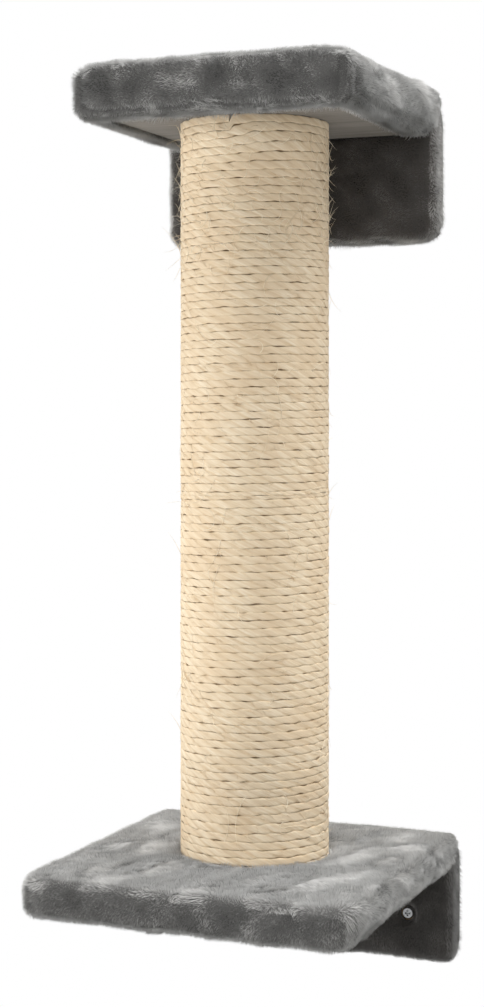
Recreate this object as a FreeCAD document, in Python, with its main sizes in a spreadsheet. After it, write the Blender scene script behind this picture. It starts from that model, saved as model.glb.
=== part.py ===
import FreeCAD, Part
import math
import os

import Sketcher
from FreeCAD import Placement, Rotation, Vector

# Wall-mounted cat scratching post: a sisal-wound tube bolted between two plush-covered brackets.
# Millimetres. X runs along the wall, the wall is the plane Y = 0 and the post stands on its -Y side, Z is up.
# The origin is midway between the two lower wall screws, on the wall.

SIZES = [
    # the boards of both brackets
    ("board_thickness", 16),
    ("board_corner", 6),
    ("lower_board_width", 240),
    ("lower_shelf_reach", 254),  # wall to the front edge of the shelf board
    ("lower_screw_drop", 39),  # underside of the shelf board down to the wall screws
    ("lower_wall_foot", 28),  # wall screws down to the end of the wall board
    ("upper_board_width", 210),
    ("upper_shelf_reach", 205),
    ("upper_screw_drop", 39),
    ("upper_wall_foot", 38),
    ("pad_thickness", 12),  # foam on the upper shelf only
    # the plush and the lining
    ("plush_thickness", 8),
    ("plush_pressed", 2),  # plush under the foot of the post
    ("plush_roll", 10),  # rounding of the plush along the edges
    ("plush_corner", 16),  # rounding of the plush at the free corners
    ("hem_thickness", 5),
    ("hem_width", 14),
    ("lining_thickness", 1),
    ("soft_clearance", 0.6),
    # the post
    ("post_setback", 116),  # wall to the axis of the post
    ("post_length", 555),
    ("tube_diameter", 100),
    ("tube_wall", 4),
    ("plug_thickness", 18),
    ("fit_clearance", 0.1),
    # the rope
    ("rope_diameter", 5.4),
    ("rope_gap", 0.44),  # least space between two turns
    ("rope_clearance", 0.3),  # rope to tube, and rope to the ends of the post
    # the bolts that hold the post, with their washers and tee nuts
    ("bolt_diameter", 8),
    ("bolt_length", 45),
    ("bolt_hole", 9),
    ("bolt_head_diameter", 17),
    ("bolt_head_height", 3),
    ("bolt_socket", 5),  # across the flats
    ("bolt_socket_depth", 2),
    ("bolt_point", 1),
    ("washer_diameter", 28),
    ("washer_thickness", 1.5),
    ("dimple_margin", 2),  # room round the upper washer in the foam and plush
    ("dimple_roll", 5),
    ("nut_flange_diameter", 24),
    ("nut_flange_thickness", 1.6),
    ("nut_barrel_diameter", 10),
    ("nut_barrel_length", 12),
    # the screws that join each wall board to its shelf board
    ("joint_screw_diameter", 4),
    ("joint_screw_length", 50),
    ("joint_screw_head", 8),
    ("joint_screw_point", 6),
    ("joint_screw_spacing", 80),
    # the screws into the wall
    ("lower_screw_spacing", 182),
    ("upper_screw_spacing", 152),
    ("wall_screw_diameter", 5),
    ("wall_screw_neck", 3.6),
    ("wall_screw_depth", 40),  # how far it reaches into the wall
    ("wall_screw_point", 6),
    ("wall_screw_hole", 5.5),
    ("wall_screw_head", 9.2),
    ("wall_screw_head_height", 3.2),
    ("wall_screw_rim", 1.4),  # straight part of the head below its dome
    ("wall_screw_crown", 5.6),  # flat part of the dome
    ("wall_screw_round", 0.8),
    ("cross_length", 4.8),
    ("cross_width", 1.2),
    ("cross_depth", 1.8),
]
JOINT_SCREWS = 3
TURN_STEP = 0.5  # the winding is drawn in half turns
END_ANGLE = -90  # both rope ends lie at the front of the post
POINTS_PER_TURN = 240  # for measuring the winding's gap

doc = FreeCAD.newDocument("cat_scratching_post")
sheet = doc.addObject("Spreadsheet::Sheet", "sizes")
for row, (alias, number) in enumerate(SIZES, 1):
    sheet.set(f"A{row}", alias)
    sheet.set(f"B{row}", str(number))
    sheet.setAlias(f"B{row}", alias)
doc.recompute()

UP = Vector(0, 0, 1)
FORWARD = Vector(0, -1, 0)
parts = []


def value(size):
    """The number that an expression in the sheet's sizes comes to."""
    return float(sheet.evalExpression(size))


# Heights up the assembly, measured from the lower wall screws.
LOWER_TOP = "(sizes.lower_screw_drop + sizes.board_thickness)"
POST_FOOT = f"({LOWER_TOP} + sizes.plush_pressed)"
POST_HEAD = f"({POST_FOOT} + sizes.post_length)"
UPPER_UNDERSIDE = f"({POST_HEAD} + sizes.lining_thickness)"

# Places that several pieces share.
POST_BEHIND = "(sizes.post_setback - sizes.board_thickness)"
TUBE_BORE = "(sizes.tube_diameter / 2 - sizes.tube_wall)"
POST_RADIUS = "(sizes.tube_diameter / 2 + sizes.rope_clearance + sizes.rope_diameter)"
DIMPLE_RADIUS = "(sizes.washer_diameter / 2 + sizes.dimple_margin)"
JOINT_HOLE = "(sizes.joint_screw_diameter / 2 + sizes.fit_clearance)"


class Bracket:
    """Expressions for one bracket, with heights measured from its own wall screws."""

    def __init__(self, level, screw_height, padding):
        self.level = level
        self.screws = screw_height
        self.padding = padding
        self.half = f"(sizes.{level}_board_width / 2)"
        self.depth = f"(sizes.{level}_shelf_reach - sizes.board_thickness)"
        self.drop = f"sizes.{level}_screw_drop"
        self.foot = f"sizes.{level}_wall_foot"
        self.spacing = f"sizes.{level}_screw_spacing"
        self.underside = f"({screw_height} + {self.drop})"
        self.stack = f"(sizes.board_thickness + {padding})"
        self.top = f"({self.drop} + {self.stack})"


LOWER = Bracket("lower", "0", "0")
UPPER = Bracket("upper", f"({UPPER_UNDERSIDE} - sizes.upper_screw_drop)", "sizes.pad_thickness")


# Sketch and feature helpers.


def new_body(label, y="0", z="0", turn=None):
    """A sub-part whose own origin stands at the given distance from the wall and height."""
    body = doc.addObject("PartDesign::Body", label)
    body.Label = label
    if turn:
        body.Placement = Placement(Vector(), turn)
    body.setExpression("Placement.Base.y", y)
    body.setExpression("Placement.Base.z", z)
    parts.append(body)
    return body


def origin_plane(body, role):
    return next(item for item in body.Origin.OriginFeatures if item.Role == role)


def new_sketch(body, name, role, lift="0"):
    sketch = body.newObject("Sketcher::SketchObject", f"{body.Name}_{name}")
    sketch.AttachmentSupport = [(origin_plane(body, role), "")]
    sketch.MapMode = "FlatFace"
    sketch.setExpression("AttachmentOffset.Base.z", lift)
    return sketch


def bind(sketch, constraint, size):
    index = sketch.addConstraint(constraint)
    sketch.setExpression(f"Constraints[{index}]", size)


def place(sketch, geometry, point, x, y):
    """Fixes a point at the distances x and y from the sketch's origin, either way."""
    for kind, size, axis in (("DistanceX", x, -2), ("DistanceY", y, -1)):
        distance = value(size)
        if abs(distance) < 1e-9:
            sketch.addConstraint(Sketcher.Constraint("PointOnObject", geometry, point, axis))
        elif distance > 0:
            bind(sketch, Sketcher.Constraint(kind, -1, 1, geometry, point, distance), size)
        else:
            bind(sketch, Sketcher.Constraint(kind, geometry, point, -1, 1, -distance), f"-({size})")


def polygon(sketch, corners):
    """A closed outline whose corners are given as pairs of expressions."""
    points = [Vector(value(x), value(y), 0) for x, y in corners]
    first = sketch.GeometryCount
    for start, end in zip(points, points[1:] + points[:1]):
        sketch.addGeometry(Part.LineSegment(start, end), False)
    for index, (x, y) in enumerate(corners):
        line = first + index
        following = first + (index + 1) % len(corners)
        sketch.addConstraint(Sketcher.Constraint("Coincident", line, 2, following, 1))
        place(sketch, line, 1, x, y)


def rectangle(sketch, left, right, bottom, top):
    polygon(sketch, [(left, bottom), (right, bottom), (right, top), (left, top)])


def circle(sketch, x, y, radius):
    centre = Vector(value(x), value(y), 0)
    index = sketch.addGeometry(Part.Circle(centre, UP, value(radius)), False)
    place(sketch, index, 3, x, y)
    bind(sketch, Sketcher.Constraint("Radius", index, value(radius)), radius)


def pad(body, sketch, length):
    feature = body.newObject("PartDesign::Pad", f"{sketch.Name}_pad")
    feature.Profile = sketch
    feature.setExpression("Length", length)
    doc.recompute()
    return feature


def pocket(body, sketch, length=None):
    """Cuts along the sketch's own normal, through everything when no length is given."""
    before = body.Shape.Volume
    feature = body.newObject("PartDesign::Pocket", f"{sketch.Name}_pocket")
    feature.Profile = sketch
    feature.Reversed = True
    if length:
        feature.setExpression("Length", length)
    else:
        feature.Type = "ThroughAll"
    doc.recompute()
    if body.Shape.Volume >= before - 1e-6:
        raise RuntimeError(f"{feature.Name} cuts nothing")
    return feature


def revolve(body, sketch):
    feature = body.newObject("PartDesign::Revolution", f"{sketch.Name}_turned")
    feature.Profile = sketch
    feature.ReferenceAxis = (sketch, ["V_Axis"])
    feature.Angle = 360
    doc.recompute()
    return feature


def repeat(body, spacing, count):
    """A row of copies of the whole body along X, starting from the first."""
    feature = body.newObject("PartDesign::LinearPattern", f"{body.Name}_row")
    feature.TransformMode = "Whole shape"
    feature.Direction = (origin_plane(body, "X_Axis"), [""])
    feature.setExpression("Length", spacing)
    feature.Occurrences = count
    body.Tip = feature
    doc.recompute()


def dress(body, kind, radius, edges=None, faces=None):
    """Rounds or chamfers the edges, or every edge of the faces, that pass the test."""
    base = body.Tip
    if edges:
        names = [f"Edge{i}" for i, edge in enumerate(base.Shape.Edges, 1) if edges(edge)]
    else:
        names = [f"Face{i}" for i, face in enumerate(base.Shape.Faces, 1) if faces(face)]
    feature = body.newObject(f"PartDesign::{kind}", f"{body.Name}_{kind.lower()}")
    feature.Base = (base, names)
    feature.setExpression("Radius" if kind == "Fillet" else "Size", radius)
    doc.recompute()


def runs(edge, direction):
    """Whether a straight edge lies along a direction."""
    if edge.Degenerated or not isinstance(edge.Curve, Part.Line):
        return False
    return abs(abs(edge.Curve.Direction.dot(direction)) - 1) < 1e-6


def middle(edge):
    return edge.BoundBox.Center


def rounds(edge, radius):
    if edge.Degenerated or not isinstance(edge.Curve, Part.Circle):
        return False
    return abs(edge.Curve.Radius - value(radius)) < 1e-6


def faces_towards(face, direction):
    return isinstance(face.Surface, Part.Plane) and face.normalAt(0, 0).dot(direction) > 0.999


# The brackets: boards.


def joint_places():
    """Distances of the joint screws from the middle of the board."""
    offset = (JOINT_SCREWS - 1) / 2
    return [f"{i - offset} * sizes.joint_screw_spacing" for i in range(JOINT_SCREWS)]


def wall_board(bracket):
    body = new_body(f"{bracket.level}_wall_board", z=bracket.screws)
    outline = new_sketch(body, "outline", "XZ_Plane")
    rectangle(outline, f"-{bracket.half}", bracket.half, f"-{bracket.foot}", bracket.top)
    pad(body, outline, "sizes.board_thickness")
    dress(body, "Fillet", "sizes.board_corner", lambda e: runs(e, FORWARD) and middle(e).z < 0)
    holes = new_sketch(body, "holes", "XZ_Plane")
    for side in ("-", ""):
        circle(holes, f"{side}{bracket.spacing} / 2", "0", "sizes.wall_screw_hole / 2")
    for x in joint_places():
        circle(holes, x, f"{bracket.drop} + sizes.board_thickness / 2", JOINT_HOLE)
    pocket(body, holes)
    sink = "(sizes.joint_screw_head - sizes.joint_screw_diameter) / 2"
    dress(body, "Chamfer", sink, lambda e: rounds(e, JOINT_HOLE) and abs(middle(e).y) < 1e-6)


def shelf_outline(body, bracket, name, lift="0"):
    outline = new_sketch(body, name, "XY_Plane", lift)
    rectangle(outline, f"-{bracket.half}", bracket.half, f"-{bracket.depth}", "0")
    return outline


def front_upright(bracket):
    """A test for upright edges at the front corners of a shelf board."""
    front = value(bracket.depth)
    return lambda e: runs(e, UP) and abs(middle(e).y + front) < 1e-6


def post_hole(body, name, radius, lift="0"):
    hole = new_sketch(body, name, "XY_Plane", lift)
    circle(hole, "0", f"-{POST_BEHIND}", radius)
    return hole


def shelf_board(bracket):
    body = new_body(f"{bracket.level}_shelf_board", "-sizes.board_thickness", bracket.underside)
    pad(body, shelf_outline(body, bracket, "outline"), "sizes.board_thickness")
    dress(body, "Fillet", "sizes.board_corner", front_upright(bracket))
    pocket(body, post_hole(body, "bolt_hole", "sizes.bolt_hole / 2"))
    pilots = new_sketch(body, "pilot_holes", "XZ_Plane")
    for x in joint_places():
        circle(pilots, x, "sizes.board_thickness / 2", JOINT_HOLE)
    pocket(body, pilots, "sizes.joint_screw_length - sizes.board_thickness + sizes.fit_clearance")


def shelf_pad(bracket):
    body = new_body(
        f"{bracket.level}_shelf_pad",
        "-sizes.board_thickness",
        f"{bracket.underside} + sizes.board_thickness",
    )
    pad(body, shelf_outline(body, bracket, "outline"), bracket.padding)
    dress(body, "Fillet", "sizes.board_corner", front_upright(bracket))
    pocket(body, post_hole(body, "dimple", DIMPLE_RADIUS))


# The brackets: plush and lining.


def wall_cover(bracket):
    """Plush over the front and edges of the wall board, cut away where the shelf board meets it."""
    body = new_body(f"{bracket.level}_wall_cover", z=bracket.screws)
    half = f"({bracket.half} + sizes.plush_thickness)"
    outline = new_sketch(body, "outline", "XZ_Plane")
    rectangle(
        outline,
        f"-{half}",
        half,
        f"-({bracket.foot} + sizes.plush_thickness)",
        f"{bracket.top} + sizes.plush_thickness",
    )
    pad(body, outline, "sizes.board_thickness + sizes.plush_thickness")
    dress(body, "Fillet", "sizes.plush_corner", lambda e: runs(e, FORWARD) and middle(e).z < 0)
    dress(body, "Fillet", "sizes.plush_roll", lambda e: runs(e, FORWARD) and middle(e).z > 0
          and abs(middle(e).x) > value(half) - 1e-6)
    dress(body, "Fillet", "sizes.plush_roll", faces=lambda f: faces_towards(f, FORWARD))
    board = new_sketch(body, "board", "XZ_Plane")
    rectangle(board, f"-{bracket.half}", bracket.half, f"-{bracket.foot}", bracket.top)
    pocket(body, board, "sizes.board_thickness")
    inner = value(bracket.half)
    dress(body, "Fillet", "sizes.board_corner", lambda e: runs(e, FORWARD) and middle(e).z < 0
          and abs(abs(middle(e).x) - inner) < 1e-6)
    shelf = new_sketch(body, "shelf", "XZ_Plane")
    rectangle(shelf, f"-{bracket.half}", bracket.half, bracket.drop, bracket.top)
    pocket(body, shelf)
    heads = new_sketch(body, "screw_heads", "XZ_Plane")
    for side in ("-", ""):
        radius = "sizes.wall_screw_head / 2 + sizes.soft_clearance"
        circle(heads, f"{side}{bracket.spacing} / 2", "0", radius)
    pocket(body, heads)


def shelf_cover(bracket):
    """Plush over the top, front and sides of a shelf board, turned under its edges as a hem."""
    body = new_body(f"{bracket.level}_shelf_cover", "-sizes.board_thickness", bracket.underside)
    half = f"({bracket.half} + sizes.plush_thickness)"
    outline = new_sketch(body, "outline", "XY_Plane", "-sizes.hem_thickness")
    rectangle(
        outline,
        f"-{half}",
        half,
        f"-({bracket.depth} + sizes.plush_thickness)",
        "-sizes.plush_thickness",
    )
    pad(body, outline, f"sizes.hem_thickness + {bracket.stack} + sizes.plush_thickness")
    back = -value("sizes.plush_thickness")
    dress(body, "Fillet", "sizes.plush_corner", lambda e: runs(e, UP) and middle(e).y < back - 1)
    dress(body, "Fillet", "sizes.plush_roll", lambda e: runs(e, UP) and abs(middle(e).y - back) < 1e-6)
    dress(body, "Fillet", "sizes.plush_roll",
          faces=lambda f: faces_towards(f, UP) or faces_towards(f, -UP))
    opening = new_sketch(body, "hem", "XY_Plane", "-sizes.hem_thickness")
    inside = f"({bracket.half} - sizes.hem_width)"
    rectangle(opening, f"-{inside}", inside, f"-({bracket.depth} - sizes.hem_width)", "0")
    pocket(body, opening, "sizes.hem_thickness")
    pocket(body, shelf_outline(body, bracket, "board"), bracket.stack)
    dress(body, "Fillet", "sizes.board_corner", front_upright(bracket))
    return body


def foot_recess(body):
    """The post sinks into the plush of the lower shelf, and its bolt passes through."""
    seat = "sizes.board_thickness + sizes.plush_pressed"
    pocket(body, post_hole(body, "post", f"{POST_RADIUS} + sizes.soft_clearance", seat))
    pocket(body, post_hole(body, "bolt_hole", "sizes.bolt_hole / 2", "sizes.board_thickness"))


def bolt_dimple(body, bracket):
    """The upper bolt's head lies in a round dimple of the plush."""
    pocket(body, post_hole(body, "dimple", DIMPLE_RADIUS, bracket.stack))
    crown = value(f"{bracket.stack} + sizes.plush_thickness")
    dress(body, "Fillet", "sizes.dimple_roll",
          lambda e: rounds(e, DIMPLE_RADIUS) and abs(middle(e).z - crown) < 1e-6)


def shelf_lining(bracket, hole):
    body = new_body(
        f"{bracket.level}_shelf_lining",
        "-sizes.board_thickness",
        f"{bracket.underside} - sizes.lining_thickness",
    )
    margin = "(sizes.hem_width + sizes.fit_clearance)"
    half = f"({bracket.half} - {margin})"
    outline = new_sketch(body, "outline", "XY_Plane")
    rectangle(outline, f"-{half}", half, f"-({bracket.depth} - {margin})", "-sizes.plush_thickness")
    pad(body, outline, "sizes.lining_thickness")
    pocket(body, post_hole(body, "bolt_hole", hole))


# The brackets: screws.


def joint_screws(bracket):
    """Countersunk screws from the back of the wall board into the end of the shelf board."""
    height = f"{bracket.screws} + {bracket.drop} + sizes.board_thickness / 2"
    body = new_body(f"{bracket.level}_joint_screws", z=height)
    body.setExpression("Placement.Base.x", joint_places()[0])
    shank = "sizes.joint_screw_diameter / 2"
    head = "sizes.joint_screw_head / 2"
    profile = new_sketch(body, "profile", "XY_Plane")
    polygon(
        profile,
        [
            ("0", "0"),
            (head, "0"),
            (shank, f"{shank} - {head}"),
            (shank, "sizes.joint_screw_point - sizes.joint_screw_length"),
            ("0", "-sizes.joint_screw_length"),
        ],
    )
    row = f"{JOINT_SCREWS - 1} * sizes.joint_screw_spacing"
    revolve(body, profile)
    repeat(body, row, JOINT_SCREWS)


def wall_screws(bracket):
    """Pan-head screws through the wall board, standing out of its back by their depth in the wall."""
    body = new_body(f"{bracket.level}_wall_screws", z=bracket.screws)
    body.setExpression("Placement.Base.x", f"-{bracket.spacing} / 2")
    seat = "-sizes.board_thickness"
    top = f"({seat} - sizes.wall_screw_head_height)"
    rim = f"({seat} - sizes.wall_screw_rim)"
    crown = "sizes.wall_screw_crown / 2"
    head = "sizes.wall_screw_head / 2"
    neck = "sizes.wall_screw_neck / 2"
    thread = "sizes.wall_screw_diameter / 2"
    profile = new_sketch(body, "profile", "XY_Plane")
    polygon(
        profile,
        [
            ("0", top),
            (crown, top),
            (head, rim),
            (head, seat),
            (neck, seat),
            (neck, "0"),
            (thread, "0"),
            (thread, "sizes.wall_screw_depth - sizes.wall_screw_point"),
            ("0", "sizes.wall_screw_depth"),
        ],
    )
    revolve(body, profile)
    dress(body, "Fillet", "sizes.wall_screw_round", lambda e: rounds(e, crown) or rounds(e, head)
          and abs(middle(e).y - value(rim)) < 1e-6)
    for long_way, short_way in (("length", "width"), ("width", "length")):
        arm = new_sketch(body, f"cross_{long_way}", "XZ_Plane", f"-({top}) - sizes.cross_depth")
        x = f"sizes.cross_{long_way} / 2"
        z = f"sizes.cross_{short_way} / 2"
        rectangle(arm, f"-{x}", x, f"-{z}", z)
        pocket(body, arm)
    repeat(body, bracket.spacing, 2)


# The post: tube, plugs and what bolts it to the shelves.


def ring(label, outer, inner, length, height):
    """A round piece with a straight bore, standing on the post's axis."""
    body = new_body(label, "-sizes.post_setback", height)
    outline = new_sketch(body, "rings", "XY_Plane")
    circle(outline, "0", "0", outer)
    circle(outline, "0", "0", inner)
    pad(body, outline, length)


def half_turn(upside_down):
    return Rotation(Vector(1, 0, 0), 180) if upside_down else None


def post_bolt(level, height, upside_down):
    """A flat-headed bolt with a hexagon socket; its own origin is under the head."""
    body = new_body(f"{level}_post_bolt", "-sizes.post_setback", height, half_turn(upside_down))
    head = "sizes.bolt_head_diameter / 2"
    shank = "sizes.bolt_diameter / 2"
    profile = new_sketch(body, "profile", "XZ_Plane")
    polygon(
        profile,
        [
            ("0", "sizes.bolt_head_height"),
            (head, "sizes.bolt_head_height"),
            (head, "0"),
            (shank, "0"),
            (shank, "sizes.bolt_point - sizes.bolt_length"),
            (f"{shank} - sizes.bolt_point", "-sizes.bolt_length"),
            ("0", "-sizes.bolt_length"),
        ],
    )
    revolve(body, profile)
    flat = "sizes.bolt_socket / 2"
    corner = "sizes.bolt_socket / sqrt(3)"
    socket = new_sketch(body, "socket", "XY_Plane", "sizes.bolt_head_height - sizes.bolt_socket_depth")
    polygon(
        socket,
        [
            (corner, "0"),
            (f"{corner} / 2", flat),
            (f"-{corner} / 2", flat),
            (f"-{corner}", "0"),
            (f"-{corner} / 2", f"-{flat}"),
            (f"{corner} / 2", f"-{flat}"),
        ],
    )
    pocket(body, socket)


def tee_nut(level, height, upside_down):
    """A flanged nut let into the inner face of a plug; its own origin is on the flange."""
    body = new_body(f"{level}_tee_nut", "-sizes.post_setback", height, half_turn(upside_down))
    bore = "sizes.bolt_diameter / 2 + sizes.fit_clearance"
    flange = "sizes.nut_flange_diameter / 2"
    barrel = "sizes.nut_barrel_diameter / 2"
    shoulder = "sizes.nut_flange_thickness"
    end = "sizes.nut_flange_thickness + sizes.nut_barrel_length"
    profile = new_sketch(body, "profile", "XZ_Plane")
    polygon(
        profile,
        [(bore, "0"), (flange, "0"), (flange, shoulder), (barrel, shoulder), (barrel, end), (bore, end)],
    )
    revolve(body, profile)


def post_core():
    ring("post_tube", "sizes.tube_diameter / 2", TUBE_BORE, "sizes.post_length", POST_FOOT)
    plug = f"{TUBE_BORE} - sizes.fit_clearance"
    hole = "sizes.nut_barrel_diameter / 2 + sizes.fit_clearance"
    lower_face = f"{POST_FOOT} + sizes.plug_thickness"
    upper_face = f"{POST_HEAD} - sizes.plug_thickness"
    ring("lower_post_plug", plug, hole, "sizes.plug_thickness", POST_FOOT)
    ring("upper_post_plug", plug, hole, "sizes.plug_thickness", upper_face)
    tee_nut("lower", f"{lower_face} + sizes.nut_flange_thickness", True)
    tee_nut("upper", f"{upper_face} - sizes.nut_flange_thickness", False)
    below = f"{LOWER.underside} - sizes.washer_thickness"
    above = f"{UPPER.underside} + sizes.board_thickness"
    washer = ("sizes.washer_diameter / 2", "sizes.bolt_hole / 2", "sizes.washer_thickness")
    ring("lower_bolt_washer", *washer, below)
    ring("upper_bolt_washer", *washer, above)
    post_bolt("lower", below, True)
    post_bolt("upper", f"{above} + sizes.washer_thickness", False)


# The rope: one right-handed winding from foot to head, whose ends run straight off the tube.


def tangent_arc(start, corner, end):
    """The arc that leaves start towards corner and reaches end from it."""
    chord = (start + end) * 0.5
    half = (end - start).Length / 2
    rise = (corner - chord).Length
    radius = half * (corner - start).Length / rise
    inward = (chord - corner).normalize()
    centre = chord + inward * math.sqrt(radius**2 - half**2)
    return Part.Arc(start, centre - inward * radius, end).toShape()


def biarc(start, start_way, end, end_way):
    """Two arcs that join two points and leave and reach them along the given ways."""
    across = end - start
    square = 2 * (start_way.dot(end_way) - 1)
    linear = -2 * across.dot(start_way + end_way)
    reach = (-linear - math.sqrt(linear**2 - 4 * square * across.dot(across))) / (2 * square)
    first = start + start_way * reach
    second = end - end_way * reach
    joint = (first + second) * 0.5
    return [tangent_arc(start, first, joint), tangent_arc(joint, second, end)]


def sisal_rope():
    diameter = value("sizes.rope_diameter")
    radius = value("(sizes.tube_diameter + sizes.rope_diameter) / 2 + sizes.rope_clearance")
    rise = value("sizes.post_length - sizes.rope_diameter - 2 * sizes.rope_clearance")
    lowest = value("sizes.rope_diameter / 2 + sizes.rope_clearance")
    steps = math.floor(rise / value("sizes.rope_diameter + sizes.rope_gap") / TURN_STEP)
    turns = steps * TURN_STEP
    pitch = rise / turns

    def on_helix(turn):
        angle = math.radians(END_ANGLE) + 2 * math.pi * (turn - turns)
        out = Vector(math.cos(angle), math.sin(angle), 0)
        way = Vector(-out.y, out.x, pitch / (2 * math.pi * radius)).normalize()
        return out * radius + UP * (lowest + pitch * turn), way

    marks = [on_helix(step * TURN_STEP) for step in range(steps + 1)]
    (first, first_way), (last, last_way) = marks[0], marks[-1]
    start = first - first_way * diameter
    edges = [Part.LineSegment(start, first).toShape()]
    for here, there in zip(marks, marks[1:]):
        edges += biarc(*here, *there)
    edges.append(Part.LineSegment(last, last + last_way * diameter).toShape())
    path = Part.Wire(edges)
    section = Part.Wire([Part.Circle(start, first_way, diameter / 2).toShape()])
    rope = doc.addObject("Part::Feature", "sisal_rope")
    rope.Label = "sisal_rope"
    rope.Shape = path.makePipeShell([section], True, False)
    rope.Placement = Placement(Vector(0, -value("sizes.post_setback"), value(POST_FOOT)), Rotation())
    parts.append(rope)
    expected = math.pi * diameter**2 / 4 * path.Length
    if abs(rope.Shape.Volume / expected - 1) > 0.001:
        raise RuntimeError("the rope has lost its section")
    points = path.discretize(int(turns * POINTS_PER_TURN))
    gaps = [
        (point - points[index + ahead]).Length - diameter
        for index, point in enumerate(points)
        for ahead in range(POINTS_PER_TURN - 4, POINTS_PER_TURN + 5)
        if index + ahead < len(points)
    ]
    print(f"rope: {turns:g} turns at a pitch of {pitch:.3f} mm, least gap to itself {min(gaps):.3f} mm")


for bracket in (LOWER, UPPER):
    wall_board(bracket)
    wall_cover(bracket)
    shelf_board(bracket)
    joint_screws(bracket)
    wall_screws(bracket)
foot_recess(shelf_cover(LOWER))
bolt_dimple(shelf_cover(UPPER), UPPER)
shelf_lining(LOWER, "sizes.washer_diameter / 2 + sizes.soft_clearance")
shelf_lining(UPPER, "sizes.bolt_hole / 2")
shelf_pad(UPPER)
post_core()
sisal_rope()
doc.recompute()

for item in doc.Objects:
    if "Invalid" in item.State or "Error" in item.State:
        raise RuntimeError(f"{item.Label} failed: {item.State}")
for part in parts:
    if part.Shape.isNull() or not part.Shape.isValid():
        raise RuntimeError(f"{part.Label} has no valid shape")

os.makedirs("parts", exist_ok=True)
for part in parts:
    part.Shape.exportStep(f"parts/{part.Label}.step")
    box = part.Shape.BoundBox
    print(
        f"{part.Label}: {len(part.Shape.Solids)} solid(s), {part.Shape.Volume / 1000:.2f} cm3, "
        f"x {box.XMin:.1f}..{box.XMax:.1f} y {box.YMin:.1f}..{box.YMax:.1f} z {box.ZMin:.1f}..{box.ZMax:.1f}"
    )
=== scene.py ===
import math

import bmesh
import bpy
import numpy as np
from mathutils import Matrix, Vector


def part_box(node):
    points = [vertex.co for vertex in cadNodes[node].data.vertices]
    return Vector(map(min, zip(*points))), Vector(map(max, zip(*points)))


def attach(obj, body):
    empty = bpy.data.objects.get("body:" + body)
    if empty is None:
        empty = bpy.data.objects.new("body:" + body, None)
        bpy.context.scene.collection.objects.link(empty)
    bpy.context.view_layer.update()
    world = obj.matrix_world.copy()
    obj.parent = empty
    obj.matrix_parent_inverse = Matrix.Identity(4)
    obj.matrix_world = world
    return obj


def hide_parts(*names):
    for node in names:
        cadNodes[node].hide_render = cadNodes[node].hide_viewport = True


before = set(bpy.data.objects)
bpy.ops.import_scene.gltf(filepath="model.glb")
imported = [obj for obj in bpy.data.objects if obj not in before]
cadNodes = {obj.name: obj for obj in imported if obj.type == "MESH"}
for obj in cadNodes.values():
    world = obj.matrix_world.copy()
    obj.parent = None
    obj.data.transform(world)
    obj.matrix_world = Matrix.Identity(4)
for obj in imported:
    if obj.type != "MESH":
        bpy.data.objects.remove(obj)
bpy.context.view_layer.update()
scene = bpy.context.scene
mm = 0.001
print("frame loaded:", len(cadNodes), "nodes")


# Small tools

def linear(hexColour):  # an sRGB hex value as linear red, green, blue and alpha
    srgb = np.array([int(hexColour[i:i + 2], 16) for i in (1, 3, 5)]) / 255
    light = np.where(srgb <= 0.04045, srgb / 12.92, ((srgb + 0.055) / 1.055) ** 2.4)
    return (*light.tolist(), 1.0)


def plugIn(node, inputs):
    # values and links for a node's sockets; a hex value is a colour, a node is its first output in use
    for socket, value in inputs.items():
        if isinstance(value, str):
            value = linear(value)
        if isinstance(value, bpy.types.Node):
            value = next(output for output in value.outputs if output.enabled)
        if isinstance(value, bpy.types.NodeSocket):
            node.id_data.links.new(value, node.inputs[socket])
        else:
            node.inputs[socket].default_value = value


def addNode(tree, kind, inputs=None, **settings):  # one shader node with its settings, values and links
    node = tree.nodes.new("ShaderNode" + kind)
    for name, value in settings.items():
        setattr(node, name, value)
    plugIn(node, inputs or {})
    return node


def newMaterial(name, **values):
    # a material with one Principled shader; what is even all over the surface is set on its sockets
    material = bpy.data.materials.new(name)
    material.use_nodes = True
    tree = material.node_tree
    tree.nodes.clear()
    shader = addNode(tree, "BsdfPrincipled", {key.replace("_", " "): v for key, v in values.items()})
    addNode(tree, "OutputMaterial", {"Surface": shader})
    return material, tree, shader


def unit(vectors):  # vectors divided by their lengths
    return vectors / np.maximum(np.linalg.norm(vectors, axis=-1, keepdims=True), 1e-12)


def smoothStep(value, low, high):  # 0 below low, 1 above high, three squares less two cubes between
    t = np.clip((value - low) / (high - low), 0, 1)
    return t * t * (3 - 2 * t)


def planeWaves(wavelength, seed, waves=24):
    # seeded plane waves of about that length: how steeply each runs along x, y and z, and its phase
    rng = np.random.default_rng(seed)
    headings = unit(rng.normal(size=(waves, 3)))
    rates = 2 * np.pi / (wavelength * rng.uniform(0.7, 1.5, (waves, 1)))
    phases = rng.uniform(0, 2 * np.pi, waves)
    return headings * rates, phases, math.sqrt(2 / waves)


def waveField(points, wavelength, seed):  # a smooth random field: the waves' sines added up, spread about 1
    steep, phases, share = planeWaves(wavelength, seed)
    return np.sin(points @ steep.T + phases).sum(1) * share


def waveSlope(points, wavelength, seed):
    # the slope of that same field, in units of its wavelength over a full turn
    steep, phases, share = planeWaves(wavelength, seed)
    return np.cos(points @ steep.T + phases) @ (steep * wavelength / (2 * np.pi)) * share


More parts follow.
